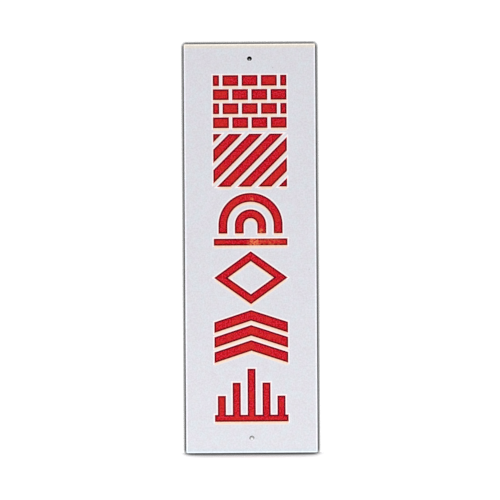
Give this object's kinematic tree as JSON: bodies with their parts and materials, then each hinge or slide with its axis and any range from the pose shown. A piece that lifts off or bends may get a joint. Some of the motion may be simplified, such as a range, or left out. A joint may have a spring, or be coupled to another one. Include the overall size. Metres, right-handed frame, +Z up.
{
  "type": "no trespassing sign",
  "caption": "Upright rectangular sign plate of white rigid plastic, cut from sheet, with a fixing hole near each end on its centre line.",
  "frame": {"origin": "centre of the back face, on the plane of the wall it is fixed to", "axes": "+Z up the sign, along its length; +X to the right of someone reading it; the printed face looks along -Y and the back face along +Y"},
  "size_m": [0.09, 0.002, 0.28],
  "materials": {
    "white_sheet": "satin",
    "red_ink": "satin"
  },
  "bodies": {
    "root": {"sign_plate": "white_sheet"}
  },
  "joints": []
}
